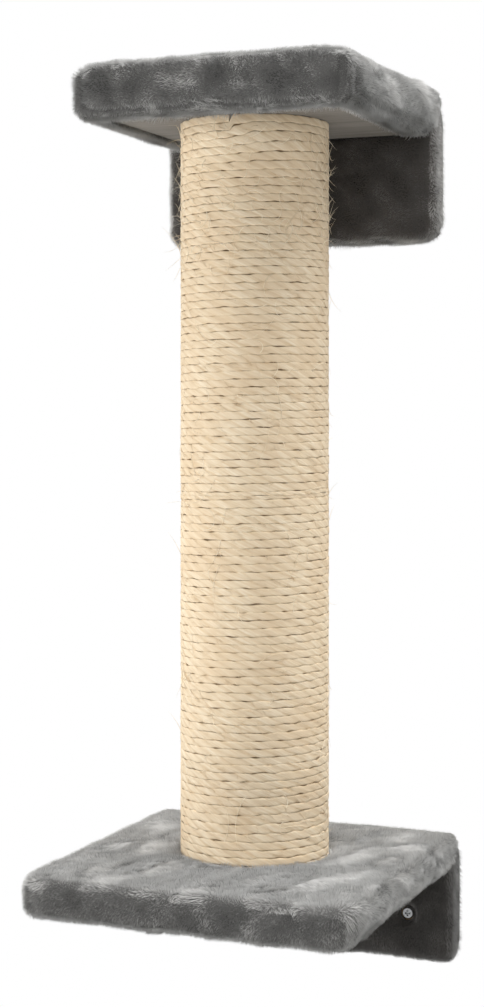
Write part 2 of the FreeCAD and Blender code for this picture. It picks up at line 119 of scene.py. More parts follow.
def addPiece(name, points, faceSets, material, replaced=(), values=None, maps=None):
    # points (n, 3) in metres; faceSets are arrays of corner numbers; values go on points, maps on corners
    mesh = bpy.data.meshes.new(name)
    corners = np.concatenate([faces.ravel() for faces in faceSets])
    sizes = np.concatenate([np.full(len(faces), faces.shape[1]) for faces in faceSets])
    mesh.vertices.add(len(points))
    mesh.vertices.foreach_set("co", np.asarray(points, np.float32).ravel())
    mesh.loops.add(len(corners))
    mesh.loops.foreach_set("vertex_index", corners.astype(np.int32))
    mesh.polygons.add(len(sizes))
    mesh.polygons.foreach_set("loop_start", (np.cumsum(sizes) - sizes).astype(np.int32))
    mesh.update(calc_edges=True)
    mesh.validate()
    mesh.polygons.foreach_set("use_smooth", np.ones(len(sizes), bool))
    dressMesh(mesh, values, maps)
    return placePiece(name, mesh, material, replaced)


def dressMesh(mesh, values=None, maps=None):
    # one number a point for each of the values, and one place a corner for each of the maps
    for key, numbers in (values or {}).items():
        kept = mesh.attributes.new(key, "FLOAT", "POINT")
        kept.data.foreach_set("value", np.asarray(numbers, np.float32))
    for key, places in (maps or {}).items():
        mesh.uv_layers.new(name=key).data.foreach_set("uv", np.asarray(places, np.float32).ravel())


def placePiece(name, mesh, material, replaced=()):  # a mesh as a piece, in place of its CAD nodes
    piece = bpy.data.objects.new(name, mesh)
    scene.collection.objects.link(piece)
    mesh.materials.clear()
    mesh.materials.append(material)
    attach(piece, "root")
    if replaced:
        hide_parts(*replaced)
    return piece


def quadCorners(rows, columns):  # row and column of each corner of a grid's quads, one way round
    row, column = np.meshgrid(np.arange(rows - 1), np.arange(columns), indexing="ij")
    return np.stack([row, row, row + 1, row + 1], -1), np.stack([column, column + 1, column + 1, column], -1)


def gridFaces(rows, columns):  # quads of a grid of points that closes on itself across its columns
    row, column = quadCorners(rows, columns)
    return (row * columns + column % columns).reshape(-1, 4)


def fanFaces(first, columns, hub):  # triangles from a ring of points to its hub
    rim = np.arange(columns)
    return np.stack([first + rim, first + (rim + 1) % columns, np.full(columns, hub)], 1)


def threeRound(along, aside, spin=0.0):  # three unit vectors square to a heading, a third of a round apart
    side = unit(np.cross(along, aside))
    other = np.cross(along, side)
    turn = spin + 2 * np.pi * np.arange(3) / 3
    return side[..., None, :] * np.cos(turn)[..., None] + other[..., None, :] * np.sin(turn)[..., None]


def inSquares(places, count):  # a map's squares, one for each of count fibres, with these places in each
    rows = math.ceil(math.sqrt(count))
    square = np.stack([np.arange(count) % rows, np.arange(count) // rows], 1)[:, None]
    return ((square + places) / rows).reshape(-1, 2)


# Materials

rgba = {"data_type": "RGBA"}  # of a Mix node for colours


def plushMaterial(name, sheen, root):
    # Polyester plush, a knitted backing with a brushed pile, pale and silky at the tips: the fibres are
    # painted dark towards their roots, painted shade for the shade between them, so it looks dark end-on and
    # light along its edges
    material, tree, shader = newMaterial(
        name, Roughness=0.62, Specular_IOR_Level=0.3,
        Sheen_Weight=sheen, Sheen_Roughness=0.4, Sheen_Tint="#dcdcda")
    # tip runs from the painted shade at a fibre's root to its pale tip; tone also carries painted light and
    # shade
    tip, toneAndShade = (addNode(tree, "Attribute", attribute_name=key).outputs["Fac"] for key in ("tip", "toneAndShade"))
    pile = addNode(tree, "Mix", {0: tip, 6: root, 7: "#d2d1ce"}, **rgba)
    shaded = addNode(tree, "Mix", {0: 1.0, 6: pile, 7: toneAndShade}, blend_type="MULTIPLY", **rgba)
    plugIn(shader, {"Base Color": shaded})
    return material


def sisalMaterial():
    # Sisal rope, three twisted strands of dry leaf fibre: cream, dull, streaked along the strands, with
    # painted shade a little browner in their grooves and a dark broken line of painted shade where two turns
    # leave a gap; loose fibres are paler, on the strays as painted light. A fibre is 0.25 mm wide; its
    # streaks are drawn
    # 1.2 mm wide so that they show
    material, tree, shader = newMaterial(
        "sisalFibre", Roughness=0.85, Specular_IOR_Level=0.2,
        Sheen_Weight=0.1, Sheen_Roughness=0.5, Sheen_Tint="#fff3dc")
    lay = addNode(tree, "UVMap", uv_map="lay")
    stretched = addNode(tree, "Mapping", {"Vector": lay, "Scale": (70.0, 15.0, 1.0)})
    streaks = addNode(
        tree, "TexNoise", {"Vector": stretched, "Scale": 1.0, "Detail": 3.0, "Roughness": 0.6})
    place = addNode(tree, "TexCoord").outputs["Object"]
    patches = addNode(tree, "TexNoise", {"Vector": place, "Scale": 1 / (30 * mm), "Detail": 2.0})
    gaps = addNode(tree, "TexNoise", {"Vector": place, "Scale": 1 / (7 * mm), "Detail": 1.0})
    groove, seam, pale = (addNode(tree, "Attribute", attribute_name=key).outputs["Fac"]
                          for key in ("groove", "seam", "pale"))
    fibre = addNode(tree, "MapRange", {0: streaks, 1: 0.3, 2: 0.7})
    straw = addNode(tree, "Mix", {0: fibre, 6: "#e8d0ac", 7: "#fbecd3"}, **rgba)
    area = addNode(tree, "MapRange", {0: patches, 1: 0.4, 2: 0.65, 3: 0.0, 4: 0.5})
    warm = addNode(tree, "Mix", {0: area, 6: straw, 7: "#e6cdab"}, **rgba)
    # painted shade: a little browner in the strands' grooves
    grooveShade = addNode(tree, "Math", {0: groove, 1: 0.28}, operation="MULTIPLY")
    deep = addNode(tree, "Mix", {0: grooveShade, 6: warm, 7: "#c8a97c"}, **rgba)
    # painted shade: a dark line where two turns meet, broken by noise and strongest in the grooves
    gap = addNode(tree, "MapRange", {0: gaps, 1: 0.32, 2: 0.54})
    notch = addNode(tree, "MapRange", {0: groove, 3: 0.7, 4: 1.0})
    split = addNode(tree, "Math", {0: gap, 1: notch}, operation="MULTIPLY")
    seamShade = addNode(tree, "Math", {0: split, 1: seam}, operation="MULTIPLY")
    seamShaded = addNode(tree, "Mix", {0: seamShade, 6: deep, 7: "#73552d"}, **rgba)
    # loose fibres are paler: a random tone on the fuzz, and on the strays painted light for the shade they
    # stand in
    paleToneAndLight = addNode(tree, "Mix", {0: pale, 6: seamShaded, 7: "#fff4de"}, **rgba)
    bump = addNode(tree, "Bump", {"Height": streaks, "Strength": 0.5, "Distance": 0.4 * mm})
    plugIn(shader, {"Base Color": paleToneAndLight, "Normal": bump})
    return material


def liningMaterial():
    # Spun-bonded polypropylene cloth, pulled flat: plain matt grey with faint pull marks along its width
    material, tree, shader = newMaterial("liningCloth", Roughness=0.7, Specular_IOR_Level=0.3)
    place = addNode(tree, "TexCoord").outputs["Object"]
    drawn = addNode(tree, "Mapping", {"Vector": place, "Scale": (9.0, 240.0, 60.0)})
    marks = addNode(tree, "TexNoise", {"Vector": drawn, "Scale": 1.0, "Detail": 3.0})
    spots = addNode(tree, "TexVoronoi", {"Vector": place, "Scale": 1 / (1.8 * mm)})
    faint = addNode(tree, "MapRange", {0: marks, 1: 0.3, 2: 0.7})
    cloth = addNode(tree, "Mix", {0: faint, 6: "#6d6963", 7: "#837e78"}, **rgba)
    bump = addNode(tree, "Bump", {"Height": spots, "Strength": 0.15, "Distance": 0.2 * mm})
    plugIn(shader, {"Base Color": cloth, "Normal": bump})
    return material


def particleBoardMaterial():
    # Particle board, sawn: pressed wood chips 2 to 6 mm long, pale and dark brown
    material, tree, shader = newMaterial("particleBoard", Roughness=0.85, Specular_IOR_Level=0.25)
    place = addNode(tree, "TexCoord").outputs["Object"]
    chips = addNode(tree, "TexVoronoi", {"Vector": place, "Scale": 1 / (3.5 * mm)})
    dust = addNode(tree, "TexNoise", {"Vector": place, "Scale": 1 / (1.2 * mm), "Detail": 4.0})
    grey = addNode(tree, "RGBToBW", {0: chips.outputs["Color"]})
    chip = addNode(tree, "Mix", {0: grey, 6: "#a98457", 7: "#d8bd90"}, **rgba)
    bump = addNode(tree, "Bump", {"Height": dust, "Strength": 0.4, "Distance": 0.3 * mm})
    plugIn(shader, {"Base Color": chip, "Normal": bump})
    return material


def cardboardMaterial():
    # Spiral-wound kraft tube: brown paper fibres, dull
    material, tree, shader = newMaterial("kraftCardboard", Roughness=0.9, Specular_IOR_Level=0.2)
    place = addNode(tree, "TexCoord").outputs["Object"]
    fibres = addNode(tree, "TexNoise", {"Vector": place, "Scale": 1 / (2.5 * mm), "Detail": 5.0})
    paper = addNode(tree, "Mix", {0: fibres, 6: "#8f6d45", 7: "#b8946a"}, **rgba)
    plugIn(shader, {"Base Color": paper})
    return material


def foamMaterial():
    # Cut polyurethane foam: pale, open cells about 1 mm wide
    material, tree, shader = newMaterial("cutFoam", Roughness=0.95, Specular_IOR_Level=0.2)
    place = addNode(tree, "TexCoord").outputs["Object"]
    cells = addNode(tree, "TexVoronoi", {"Vector": place, "Scale": 1 / (1.0 * mm)})
    foam = addNode(tree, "Mix", {0: cells, 6: "#b9b7ae", 7: "#e6e4da"}, **rgba)
    bump = addNode(tree, "Bump", {"Height": cells, "Strength": 0.5, "Distance": 0.4 * mm})
    plugIn(shader, {"Base Color": foam, "Normal": bump})
    return material


def zincMaterial():
    # Zinc-plated steel, tumbled: bright silver with a fine uneven haze about 1 mm across
    material, tree, shader = newMaterial("zincPlatedSteel", Metallic=1.0)
    place = addNode(tree, "TexCoord").outputs["Object"]
    haze = addNode(tree, "TexNoise", {"Vector": place, "Scale": 1 / (1.0 * mm), "Detail": 2.0})
    plate = addNode(tree, "Mix", {0: haze, 6: "#7c7e80", 7: "#a3a4a5"}, **rgba)
    dull = addNode(tree, "MapRange", {0: haze, 1: 0.3, 2: 0.7, 3: 0.35, 4: 0.5})
    plugIn(shader, {"Base Color": plate, "Roughness": dull})
    return material


# the third colour is the painted shade at the fibres' roots
plush = plushMaterial("polyesterPlush", 0.9, "#383735")
# a shaded copy of the same plush for the plates: less sheen, and browner painted shade between its fibres
shadedPlush = plushMaterial("polyesterPlushShaded", 0.45, "#43372c")
sisal = sisalMaterial()
lining = liningMaterial()
particleBoard = particleBoardMaterial()
cardboard = cardboardMaterial()
foam = foamMaterial()
zinc = zincMaterial()
print("materials made")

# The rigid pieces keep their solids and get their finish

finishOf = {
    "board": particleBoard, "post_plug": particleBoard, "pad": foam, "post_tube": cardboard,
    "tee_nut": zinc, "washer": zinc, "post_bolt": zinc, "screws": zinc}
for nodeName, node in cadNodes.items():
    for part, finish in finishOf.items():
        if nodeName.endswith(part):
            node.data.materials.clear()
            node.data.materials.append(finish)


# Sisal rope: one right-handed winding, in three lengths that meet at the back of the post

ropeSpec = {
    "turns": 94.5, "endAngle": math.radians(-88),  # it starts behind the post and ends at its front
    "width": 6.1 * mm, "strands": 3, "lay": 43 * mm,
    "square": 11.0,  # 2 is a round rope; more is flatter, as the turns press on each other
    "rows": (0.97, 0.8, 0.42, 0.0, -0.42, -0.8, -0.97),  # heights of the rows of points on the outer face
    "valley": 0.08, "notch": 0.12, "ringStep": 1.7 * mm,  # a groove's depth on the face and at the corners
    "levelTurns": 8,  # turns over which the level end turns change to a steady helix
    "stepShare": 0.009,  # share of the first and last round in which it steps to the next
    "uneven": 0.09 * mm, "swell": 0.02, "untwist": 0.5, "press": 1.09, "pressSpread": 0.06, "seed": 5}
tubeLow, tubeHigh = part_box("post_tube")
postAxis = np.array([(tubeLow.x + tubeHigh.x) / 2, (tubeLow.y + tubeHigh.y) / 2])
tubeRadius = (tubeHigh.x - tubeLow.x) / 2
ropePitch = (tubeHigh.z - tubeLow.z) / ropeSpec["turns"]  # the first and the last turn lie level
ropeRadius = tubeRadius + ropeSpec["width"] / 2  # of the rope's own line


def ropeRise(turn):
    # in pitches: a turn lies level and then steps to the next in a share of its round; the share is small at
    # both ends of the rope and grows to the whole round, a steady helix, after some turns. At the foot a step
    # comes just before the rope's start, at the head just after the rope's end
    spec = ropeSpec
    toEnd = spec["turns"] - turn
    fromEnd = np.where(turn < spec["turns"] / 2, turn, toEnd)
    spread = np.clip(np.floor(fromEnd) / spec["levelTurns"], 0, 1) ** 1.5
    share = spec["stepShare"] + (1 - spec["stepShare"]) * spread
    stepped = np.floor(fromEnd) + np.clip((fromEnd % 1 - 1 + share) / share, 0, 1)
    return np.where(turn < spec["turns"] / 2, stepped, spec["turns"] - 1 - stepped)


def ropeLength(name, first, last):
    # a squarish profile, a superellipse, carried along the winding. Its rows of points are close at the outer
    # corners, where turns meet; the grooves of the three strands run across them, once round in a lay
    spec = ropeSpec
    count = int((last - first) * 2 * np.pi * ropeRadius / spec["ringStep"])
    turn = np.linspace(first, last, count)
    along = turn * 2 * np.pi * ropeRadius
    angle = spec["endAngle"] + 2 * np.pi * (turn - spec["turns"])
    path = np.stack([along, 0 * along, 0 * along], 1)

    def wave(width, number):  # a smooth random value along the rope
        return waveField(path, width * mm, spec["seed"] + number)

    out = spec["uneven"] * (wave(70, 0) + wave(8, 4))
    up = spec["uneven"] * (wave(50, 1) + wave(11, 5))
    swell = 1 + spec["swell"] * wave(30, 2)
    twist = 2 * np.pi * along / spec["lay"] + spec["untwist"] * wave(150, 3)
    press = spec["press"] + spec["pressSpread"] * wave(14, 6)
    rows = np.array(spec["rows"])
    face = (1 - np.abs(rows) ** spec["square"]) ** (1 / spec["square"])
    profileOut = np.concatenate([[-0.9, 0.2], face, [0.2, -0.9]])
    profileUp = np.concatenate([[0.9, 1.0], rows, [-1.0, -0.9]])
    points = len(profileOut)
    facing = np.arctan2(profileUp, profileOut)
    valley = np.cos((facing[None, :] + twist[:, None]) * spec["strands"] / 2) ** 8
    reach = (ropeRadius + out[:, None]
             + spec["width"] / 2 * profileOut * (1 - spec["valley"] * valley) * swell[:, None])
    rise = ropeRise(turn)
    above = np.where(turn + 1 <= spec["turns"], ropeRise(np.minimum(turn + 1, spec["turns"])) - rise, 1)
    below = np.where(turn >= 1, rise - ropeRise(np.maximum(turn - 1, 0)), 1)
    room = np.where(profileUp > 0, above[:, None], below[:, None])  # to the next turn, in pitches
    high = ropePitch / 2 * room * press[:, None] * profileUp * (1 - spec["notch"] * valley)
    height = tubeLow.z + ropePitch * (0.5 + rise) + up
    rings = np.stack([
        postAxis[0] + reach * np.cos(angle)[:, None],
        postAxis[1] + reach * np.sin(angle)[:, None],
        height[:, None] + high], -1)
    ends = [rings[0], rings[-1]]
    centres = [ring.mean(0, keepdims=True) for ring in ends]
    vertices = np.concatenate([rings.reshape(-1, 3), *ends, *centres])
    quads = gridFaces(count, points)
    base = count * points
    startCap = fanFaces(base, points, base + 2 * points)[:, [1, 0, 2]]
    endCap = fanFaces(base + points, points, base + 2 * points + 1)
    # groove: how deep in a strand's groove a point lies, which the material paints browner as shade
    groove = np.concatenate([valley.ravel(), np.full(2 * points + 2, 0.5)])
    # seam: the rows where two turns meet, which the material paints with a dark line of shade
    seam = np.concatenate([np.tile(np.abs(profileUp) > 0.85, count), np.zeros(2 * points + 2)])
    # the pattern's map has metres along the rope, and rounds that turn with the strands; the second one lays
    # turn beside turn
    row, column = quadCorners(count, points)
    around = np.append(facing, facing[0] - 2 * np.pi)
    lay = np.stack([along[row], (around[column] + twist[row]) / (2 * np.pi)], -1).reshape(-1, 2)
    start = row[..., :1]  # of each quad
    margin, slack = 0.04, 1.002  # beside a strip, and for a quad that runs past its turn
    whole = np.floor(turn - first)
    shares = (turn - first - whole)[start] + (turn[1] - turn[0]) * np.array([0, 0, 1, 1])
    strips = (whole[start] + margin + (1 - 2 * margin) * (column / points)) / (math.ceil(last - first) + 1)
    laid = np.stack([np.minimum(shares / slack, 1), strips], -1).reshape(-1, 2)
    capPlaces = np.tile([[0.0, 0.99], [0.01, 0.99], [0.005, 0.995]], (2 * points, 1))
    addPiece(
        name, vertices, [quads, startCap, endCap], sisal, ["sisal_rope"],
        {"groove": groove, "seam": seam},
        {"lay": np.concatenate([lay, capPlaces]), "OFBake": np.concatenate([laid, capPlaces])})


ropeJoints = [0, 32, 63, ropeSpec["turns"]]  # whole turns are at the back
for i, name in enumerate(["sisal_rope_foot", "sisal_rope_middle", "sisal_rope_head"]):
    ropeLength(name, ropeJoints[i], ropeJoints[i + 1])


def ropeFibres(name, spec):
    # fibres that have come loose: each curls in the rope's surface, its heading turning evenly along it,
    # lifts off by the square of its length, and tapers to its end
    rng = np.random.default_rng(spec["seed"])
    count = spec["count"]
    start = rng.uniform(0, 2 * np.pi, count)[:, None]
    nearHead = rng.uniform(size=count) < spec["nearHead"]
    high = tubeHigh.z - rng.uniform(8, 110, count) * mm
    anywhere = rng.uniform(tubeLow.z + 8 * mm, tubeHigh.z - 8 * mm, count)
    height = np.where(nearHead, high, anywhere)[:, None]
    heading = rng.normal(*spec["slope"], (count, 1)) + np.pi * rng.integers(0, 2, (count, 1))
    curl = rng.uniform(*spec["curl"], (count, 1)) * rng.choice([-1, 1], (count, 1))
    length = rng.uniform(*spec["length"], (count, 1))
    s = np.linspace(0, 1, spec["rows"])[None, :]
    sideways = length * (np.sin(heading + curl * s) - np.sin(heading)) / curl
    upward = length * (np.cos(heading) - np.cos(heading + curl * s)) / curl
    far = spec["from"] + length * rng.uniform(*spec["lift"], (count, 1)) * s ** 2
    angle = start + sideways / spec["from"]
    level = np.clip(height + upward, tubeLow.z + 3 * mm, tubeHigh.z - 2 * mm)  # it stays between the shelves
    line = np.stack([postAxis[0] + far * np.cos(angle), postAxis[1] + far * np.sin(angle), level], -1)
    ring = threeRound(unit(np.gradient(line, axis=1)), [0.3, 0.5, 0.81])
    thick = spec["width"] / 2 * (1 - 0.85 * s ** 2)
    points = (line[:, :, None] + ring * thick[..., None, None]).reshape(-1, 3)
    base = np.arange(count)[:, None, None] * spec["rows"] * 3
    quads = (base + gridFaces(spec["rows"], 3)).reshape(-1, 4)
    last = (spec["rows"] - 1) * 3
    caps = (base + np.array([[2, 1, 0], [last, last + 1, last + 2]])).reshape(-1, 3)
    row, column = quadCorners(spec["rows"], 3)
    own = np.stack([0.05 + 0.9 * (column / 3), 0.05 + 0.85 * (row / (spec["rows"] - 1))], -1).reshape(-1, 2)
    tip = np.array([[0.1, 0.93], [0.2, 0.93], [0.15, 0.97]] * 2)
    cut = [inSquares(part, count) for part in (own, tip)]
    lay = [np.tile(part[:, ::-1] * [0.02, 0.3], (count, 1)) for part in (own, tip)]
    each = spec["rows"] * 3  # points of a fibre
    # on a loose fibre the groove value is a random tone, browned as a groove is
    groove = np.repeat(rng.uniform(0, 2.2, count), each)
    pale = np.repeat(rng.uniform(*spec["pale"], count), each)
    addPiece(
        name, points, [quads, caps], sisal,
        values={"groove": groove, "seam": np.zeros(len(points)), "pale": pale},
        maps={"lay": np.concatenate(lay), "OFBake": np.concatenate(cut)})


# a fibre is 0.25 mm wide and drawn a little wider so that it shows; the fuzz lies down, the strays stand off;
# from: where they start, out from the post's axis; nearHead: the share that starts near the head
# pale: a share of a paler cream: a random tone on the fuzz, paler on the long fibres, and on the strays
# painted light for the shade they stand in
ropeFibres("sisal_rope_fuzz", {
    "count": 5000, "rows": 4, "width": 0.32 * mm, "from": ropeRadius + 2.95 * mm,
    "length": (4 * mm, 13 * mm), "slope": (-0.3, 0.3), "curl": (0.1, 0.9), "lift": (0.0, 0.04),
    "nearHead": 0.05, "pale": (-0.6, 0.7), "seed": 9})
ropeFibres("sisal_rope_long_fibres", {
    "count": 70, "rows": 12, "width": 0.42 * mm, "from": ropeRadius + 3.1 * mm,
    "length": (16 * mm, 48 * mm), "slope": (1.0, 0.5), "curl": (0.3, 1.6), "lift": (0.01, 0.05),
    "nearHead": 0.3, "pale": (0.6, 1.0), "seed": 13})
ropeFibres("sisal_rope_strays", {
    "count": 330, "rows": 12, "width": 0.5 * mm, "from": ropeRadius + 2.9 * mm,
    "length": (8 * mm, 26 * mm), "slope": (-0.2, 0.7), "curl": (0.8, 3.2), "lift": (0.1, 0.6),
    "nearHead": 0.65, "pale": (0.8, 1.0), "seed": 8})
print("rope wound:", ropeSpec["turns"], "turns, pitch", round(ropePitch / mm, 3), "mm")


# Plush covers: a dense body of pile, and the fibres that stand out of it

pileSpec = {
    "voxel": 2.5 * mm, "longest": 7.0 * mm, "width": 0.42 * mm, "rootSunk": 0.4 * mm,
    "clump": 0.2 * mm, "clumpWidth": 10 * mm, "billow": 0.3 * mm, "billowWidth": 38 * mm,
    "lean": 45, "leanStray": 5, "leanRange": (6, 64), "patchWidth": 30 * mm,  # degrees from the normal
    "headBare": (6 * mm, 11 * mm), "wallFade": 22 * mm,  # shorter round a screw's head and towards the wall
    "lockWidth": 8 * mm, "lockPull": 1.2 * mm,  # fibres cling together in locks
    # painted shade: the body and the roots keep little of the tips' colour, dark as the shade between fibres
    "tipOfBody": 0.14, "tipOfRoot": 0.12,  # how much of the tips' colour the body and the roots have
    "softShade": 0.6}  # share of the surface's own normal in a fibre's shading
clothSpec = {
    "boardRound": 6 * mm, "cornerWas": (16 * mm, 10 * mm),  # radii of the boards' and of the solids' corners
    "skin": (2.2 * mm, 4.2 * mm),  # from the board's face to where the cover is free to change
    "cornerReach": 40 * mm, "rimReach": 20 * mm,  # how far in a change of rounding goes
    "tightDeep": (-130 * mm, -50 * mm),  # where a shelf's top rim changes to its tight rounding
    "hemHigh": (5 * mm, 16 * mm), "hemDeep": (-26 * mm, -12 * mm),  # where the hem's change fades
    "topFade": 6 * mm, "flare": (24 * mm, 6 * mm),  # where a change at the top and a widening come in
    "toWall": 40 * mm, "drawnOn": 39 / 16 - 1,  # this last stretch of a shelf's cloth is drawn on to the wall
    "tucked": 3 * mm,  # of a plate's cloth under the shelf's
    "headPress": (5.2 * mm, 9.5 * mm), "headDeep": 1.8 * mm}  # the dent round a screw's head


def boxOf(names):  # the lowest and the highest corner of some nodes together
    corners = np.array([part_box(name) for name in names])
    return corners[:, 0].min(0), corners[:, 1].max(0)


def voxelCopy(nodeName, voxel, plugs=()):
    # a merged copy of a node's mesh, remade as even quads; a plug shuts a hole: its place, radius and depth
    mesh = cadNodes[nodeName].data.copy()
    work = bmesh.new()
    work.from_mesh(mesh)
    bmesh.ops.remove_doubles(work, verts=work.verts, dist=1e-6)
    for place, radius, deep in plugs:
        turned = Matrix.Translation(place) @ Matrix.Rotation(math.pi / 2, 4, "X")
        bmesh.ops.create_cone(
            work, cap_ends=True, segments=20, radius1=radius, radius2=radius, depth=deep, matrix=turned)
    work.to_mesh(mesh)
    work.free()
    blank = bpy.data.objects.new("blank", mesh)
    scene.collection.objects.link(blank)
    remesh = blank.modifiers.new("remesh", "REMESH")
    remesh.mode = "VOXEL"
    remesh.voxel_size = voxel
    made = bpy.data.meshes.new_from_object(blank.evaluated_get(bpy.context.evaluated_depsgraph_get()))
    bpy.data.objects.remove(blank)
    return made


def meshArrays(mesh):  # points, point normals and triangle corners
    points = np.empty(len(mesh.vertices) * 3, np.float32)
    mesh.vertices.foreach_get("co", points)
    normals = np.empty(len(mesh.vertices) * 3, np.float32)
    mesh.vertex_normals.foreach_get("vector", normals)
    mesh.calc_loop_triangles()
    corners = np.empty(len(mesh.loop_triangles) * 3, np.int32)
    mesh.loop_triangles.foreach_get("vertices", corners)
    return points.reshape(-1, 3).astype(float), normals.reshape(-1, 3).astype(float), corners.reshape(-1, 3)


def cornerReach(c, s, size, radius):
    # how far a rounded square corner reaches from its inner point along (c, s): to the arc or to a side
    inner = size - radius
    arc = inner * (c + s) + np.sqrt(np.maximum(radius ** 2 - (inner * (c - s)) ** 2, 0))
    side = size / np.maximum(c, s)
    return np.where(np.minimum(c, s) * side > inner, arc, side)


def roundingChange(a, b, size, old, new):
    # an edge's rounding goes from one radius to another: by what share a point at the offsets a and b from
    # the corner's inner point moves out or in
    inside = (a > 0) & (b > 0)
    a, b = np.maximum(a, 1e-9), np.maximum(b, 1e-9)
    c, s = a / np.hypot(a, b), b / np.hypot(a, b)
    return np.where(inside, cornerReach(c, s, size, new) / cornerReach(c, s, size, old) - 1, 0)


def outlineOf(points, box, axis, radii):
    # a rounded rectangle across x and a second axis, with a radius for each of that axis' ends: each point's
    # distance inside it, its outward direction and the end it is nearer to
    side = np.where(points[:, axis] < (box[0][axis] + box[1][axis]) / 2, -1, 1)
    radius = np.where(side < 0, *radii)
    q = np.abs(points[:, 0]) - box[1][0] + radius
    t = side * (points[:, axis] - np.where(side < 0, box[0][axis], box[1][axis])) + radius
    corner = (q > 0) & (t > 0)
    reach = np.maximum(np.hypot(q, t), 1e-9)
    inward = radius - np.where(corner, reach, np.maximum(q, t))
    way = np.zeros_like(points)
    way[:, 0] = np.where(corner, q / reach, q > t) * np.sign(points[:, 0])
    way[:, axis] = np.where(corner, t / reach, q <= t) * side
    return inward, way, side


def reshapeCover(points, share, box, spec):
    # the cover's outline gets its corner radii, and then each rim its own rounding, along the sides and at
    # both ends
    axis = spec["axis"]
    side = outlineOf(points, box, axis, spec["corner"])[2]
    size = clothSpec["cornerReach"]
    a = np.abs(points[:, 0]) - box[1][0] + size
    b = side * (points[:, axis] - np.where(side < 0, box[0][axis], box[1][axis])) + size
    old, new = np.where(side < 0, *clothSpec["cornerWas"]), np.where(side < 0, *spec["corner"])
    change = roundingChange(a, b, size, old, new) * share
    points[:, 0] += np.sign(points[:, 0]) * a * change
    points[:, axis] += side * b * change
    for upon, edge, old, alongSides, atEnds in spec["rims"]:
        inward, way, side = outlineOf(points, box, axis, spec["corner"])
        size = clothSpec["rimReach"]
        a = size - inward
        b = edge * (points[:, upon] - box[(edge + 1) // 2][upon]) + size
        atEnd = np.where(side < 0, *atEnds)
        new = atEnd + (alongSides - atEnd) * way[:, 0] ** 2
        if edge > 0 and "tight" in spec:  # towards the wall board's corner the top is drawn tighter
            nearWall = smoothStep(points[:, 1], *clothSpec["tightDeep"])
            new += (spec["tight"] - new) * nearWall * way[:, 0] ** 2
        change = roundingChange(a, b, size, old, new) * share
        points += way * (a * change)[:, None]
        points[:, upon] += edge * b * change


def offWall(normals):  # 1 on faces that look away from the wall or along it, 0 on those that look at it
    return smoothStep(-normals[:, 1], -0.8, -0.6)


def shelfCloth(points, thick, box, boardTop, spec):
    # an uneven hem, a crown that falls with the square of the distance from the middle, and the last stretch
    # wider and drawn on to the wall, more so the higher up
    form = clothSpec
    across = points[:, 0] / box[1][0]
    lowest = 1 - smoothStep(points[:, 2] - box[0][2], *form["hemHigh"])
    atFront = smoothStep(box[0][1] - points[:, 1], *form["hemDeep"])
    front, slant, sides = spec["hem"]
    points[:, 2] += lowest * ((front + slant * across) * atFront + sides * (1 - atFront))
    onTop = smoothStep(points[:, 2] - boardTop, 0, form["topFade"])
    points[:, 2] += spec["crown"] * (1 - across ** 2) * onTop
    behind = np.maximum(points[:, 1] + form["toWall"], 0)
    points[:, 0] += np.sign(across) * spec["wider"] * smoothStep(behind, 0, form["flare"][0]) * thick
    height = (points[:, 2] - box[0][2]) / (box[1][2] - box[0][2])
    points[:, 1] += behind * form["drawnOn"] * smoothStep(height, 0.1, 0.75)


def plateCloth(points, thick, box, boardTop, spec):
    # wider towards its sides, and drawn in beside and over the shelf, whose cloth covers it there
    form = clothSpec
    side = np.sign(points[:, 0])
    flareFrom, flareTo = box[1][0] - np.array(form["flare"])
    points[:, 0] += side * spec["wider"] * smoothStep(np.abs(points[:, 0]), flareFrom, flareTo)
    beside = smoothStep((points[:, 2] - spec["shelf"]) / (box[1][2] - spec["shelf"]), 0.3, 0.85)
    points[:, 0] -= side * form["tucked"] * beside * thick
    points[:, 2] -= form["tucked"] * smoothStep(points[:, 2] - boardTop, 0, form["topFade"])


def keepOffBoard(points, depth, low, high):
    # cloth that has come too near to the board moves out, sideways or up and down, most at the corners
    inward, way = outlineOf(points, (low, high), 1, (clothSpec["boardRound"], 0.1 * mm))[:2]
    off = np.maximum(low[2] - points[:, 2], points[:, 2] - high[2])
    least = (2.4 + way[:, 1] ** 2 + 5.2 * (way[:, 0] * way[:, 1]) ** 2) * mm
    lacking = np.maximum(least - np.maximum(-inward, off), 0) * smoothStep(depth, 1.5 * mm, 2.5 * mm)
    sideways = -inward >= off
    points += way * (lacking * sideways)[:, None]
    points[:, 2] += np.where(points[:, 2] < (low[2] + high[2]) / 2, -1, 1) * lacking * ~sideways


def movePoints(mesh, points):  # new places for the points of a mesh, which is shaded smooth
    mesh.vertices.foreach_set("co", points.astype(np.float32).ravel())
    mesh.update()
    mesh.polygons.foreach_set("use_smooth", np.ones(len(mesh.polygons), bool))


